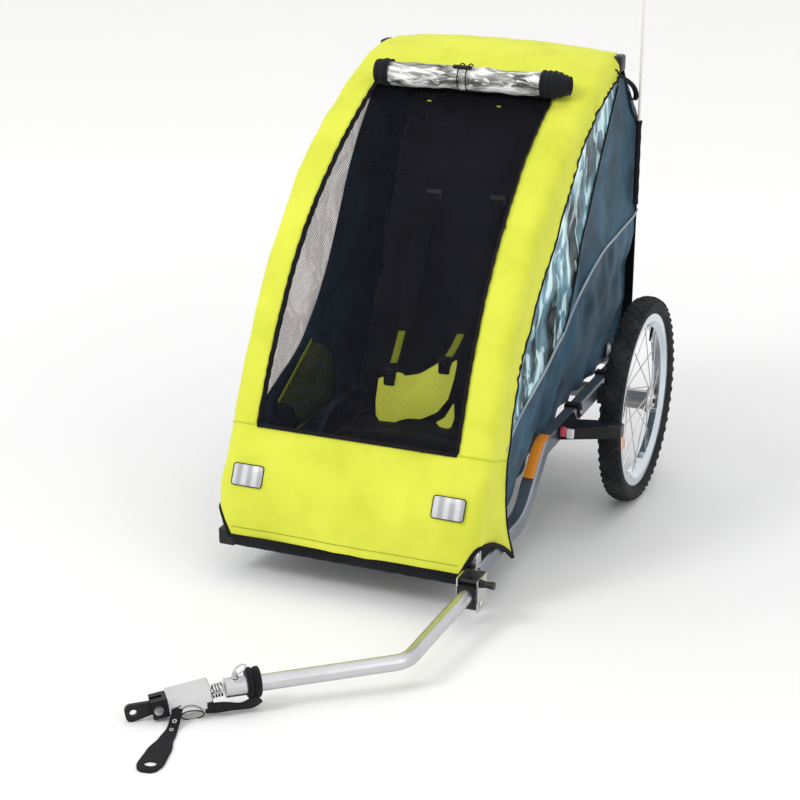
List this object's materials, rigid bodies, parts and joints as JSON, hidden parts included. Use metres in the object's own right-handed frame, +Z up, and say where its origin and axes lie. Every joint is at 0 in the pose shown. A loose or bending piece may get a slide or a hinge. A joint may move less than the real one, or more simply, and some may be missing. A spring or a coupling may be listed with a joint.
{
  "type": "child bike trailer",
  "caption": "Folding single-seat child bike trailer: fabric cabin with mesh window on a tube frame, spoked wheels, bent tow arm with a sprung hitch, and a safety flag.",
  "frame": {"origin": "centre of the bounding box's footprint, on the ground that the wheels and the hitch stand on", "axes": "+Z up, the nose points along -Y, the trailer's left side is +X; the body is tipped 3.36 degrees nose-down, as it stands with its hitch on the ground"},
  "size_m": [0.692, 1.733, 1.3083],
  "materials": {
    "anodised_tube": "satin anodised",
    "plated_steel": "zinc plated",
    "bright_rim": "polished",
    "tyre_rubber": "matt rubber",
    "black_moulding": "fine grain",
    "black_fabric": "coated woven cloth",
    "black_net": "open net",
    "lime_fabric": "coated woven cloth",
    "clear_film": "clear soft film",
    "silver_film": "rolled clear film, silvery",
    "fibre_rod": "smooth rod",
    "orange_cloth": "thin woven cloth"
  },
  "bodies": {
    "frame": {"rail_left": "anodised_tube", "rail_right": "anodised_tube", "front_corner_left": "black_moulding", "front_corner_right": "black_moulding", "rear_plug_left": "black_moulding", "rear_plug_right": "black_moulding", "axle_receiver_left": "black_moulding", "axle_receiver_right": "black_moulding", "wheel_guard_left": "black_moulding", "wheel_guard_right": "black_moulding", "axle_left": "plated_steel", "axle_right": "plated_steel", "front_crossbar": "anodised_tube", "rear_crossbar": "anodised_tube", "axle_beam": "anodised_tube", "floor_panel": "black_fabric", "front_pivot_bracket_left": "plated_steel", "front_pivot_bracket_right": "plated_steel", "rear_pivot_bracket_left": "plated_steel", "rear_pivot_bracket_right": "plated_steel", "arm_bracket": "plated_steel", "arm_hinge_bolt": "plated_steel", "hem_band": "black_fabric", "side_panel_left": "black_fabric", "side_panel_right": "black_fabric", "side_window_left": "clear_film", "side_window_right": "clear_film", "seat_base": "black_fabric", "seat_back": "black_fabric", "harness_panel": "lime_fabric", "storage_pocket": "black_net"},
    "wheel_left": {"tyre_left": "tyre_rubber", "rim_left": "bright_rim", "hub_left": "plated_steel"},
    "wheel_right": {"tyre_right": "tyre_rubber", "rim_right": "bright_rim", "hub_right": "plated_steel"},
    "button_left": {"axle_button_left": "black_moulding"},
    "button_right": {"axle_button_right": "black_moulding"},
    "front_cage": {"front_hoop": "anodised_tube", "front_cover": "lime_fabric", "front_mesh": "black_net", "rain_cover_roll": "silver_film"},
    "rear_cage": {"rear_hoop": "anodised_tube", "rear_panel": "black_fabric", "flag_pocket": "black_fabric"},
    "flag": {"flag_pole": "fibre_rod", "pennant": "orange_cloth"},
    "tow_arm": {"tow_arm_tube": "anodised_tube", "arm_collar": "black_moulding", "arm_sleeve": "anodised_tube", "strap_cuff": "black_fabric", "hitch_spring": "plated_steel"},
    "hitch_head": {"hitch_block": "anodised_tube", "hitch_clevis": "black_moulding", "axle_plate": "black_moulding", "safety_strap": "black_fabric"},
    "sleeve_pin": {"ring_pin": "plated_steel"},
    "plate_pin": {"clevis_pin": "plated_steel"},
    "arm_lock": {"lock_pin": "black_moulding"}
  },
  "joints": [
    {"name": "wheel_left_spin", "type": "hinge", "parent": "frame", "child": "wheel_left", "pos_m": [0.31, 0.51454, 0.20014], "axis": [1, 0, 0], "continuous": true},
    {"name": "wheel_right_spin", "type": "hinge", "parent": "frame", "child": "wheel_right", "pos_m": [-0.31, 0.51454, 0.20014], "axis": [1, 0, 0], "continuous": true},
    {"name": "axle_button_left_press", "type": "slide", "parent": "frame", "child": "button_left", "axis": [-1, 0, 0], "range_m": [0, 0.002], "stiffness_N_per_m": 200, "springref_m": -0.001},
    {"name": "axle_button_right_press", "type": "slide", "parent": "frame", "child": "button_right", "axis": [1, 0, 0], "range_m": [0, 0.002], "stiffness_N_per_m": 200, "springref_m": -0.001},
    {"name": "front_hoop_fold", "type": "hinge", "parent": "frame", "child": "front_cage", "pos_m": [0, -0.15309, 0.10584], "axis": [1, 0, 0], "range_deg": [-29, 0], "deforming": ["front_cover", "front_mesh", "side_window_left", "side_window_right", "side_panel_left", "side_panel_right", "storage_pocket"]},
    {"name": "rear_hoop_fold", "type": "hinge", "parent": "frame", "child": "rear_cage", "pos_m": [0, 0.66164, 0.25385], "axis": [1, 0, 0], "range_deg": [0, 81], "deforming": ["rear_panel", "seat_back"]},
    {"name": "flag_pole_lift", "type": "slide", "parent": "rear_cage", "child": "flag", "axis": [0, -0.0586, 0.9983], "range_m": [0, 0.18]},
    {"name": "tow_arm_fold", "type": "hinge", "parent": "frame", "child": "tow_arm", "pos_m": [0.239, -0.20459, 0.04471], "axis": [1, 0, 0], "range_deg": [0, 180]},
    {"name": "hitch_flex", "type": "hinge", "parent": "tow_arm", "child": "hitch_head", "pos_m": [0.00833, -0.64937, 0.03529], "axis": [0, -0.0586, 0.9983], "range_deg": [-25, 25], "stiffness_Nm_per_rad": 30, "deforming": ["hitch_spring"]},
    {"name": "ring_pin_pull", "type": "slide", "parent": "tow_arm", "child": "sleeve_pin", "axis": [0, -0.0586, 0.9983], "range_m": [0, 0.03]},
    {"name": "clevis_pin_pull", "type": "slide", "parent": "hitch_head", "child": "plate_pin", "axis": [0.638, -0.7687, -0.0451], "range_m": [0, 0.035]},
    {"name": "lock_pin_pull", "type": "slide", "parent": "frame", "child": "arm_lock", "axis": [1, 0, 0], "range_m": [0, 0.045]}
  ],
  "couplings": [
    {"joint": "rear_hoop_fold", "follows": "front_hoop_fold", "ratio": -2.76}
  ]
}
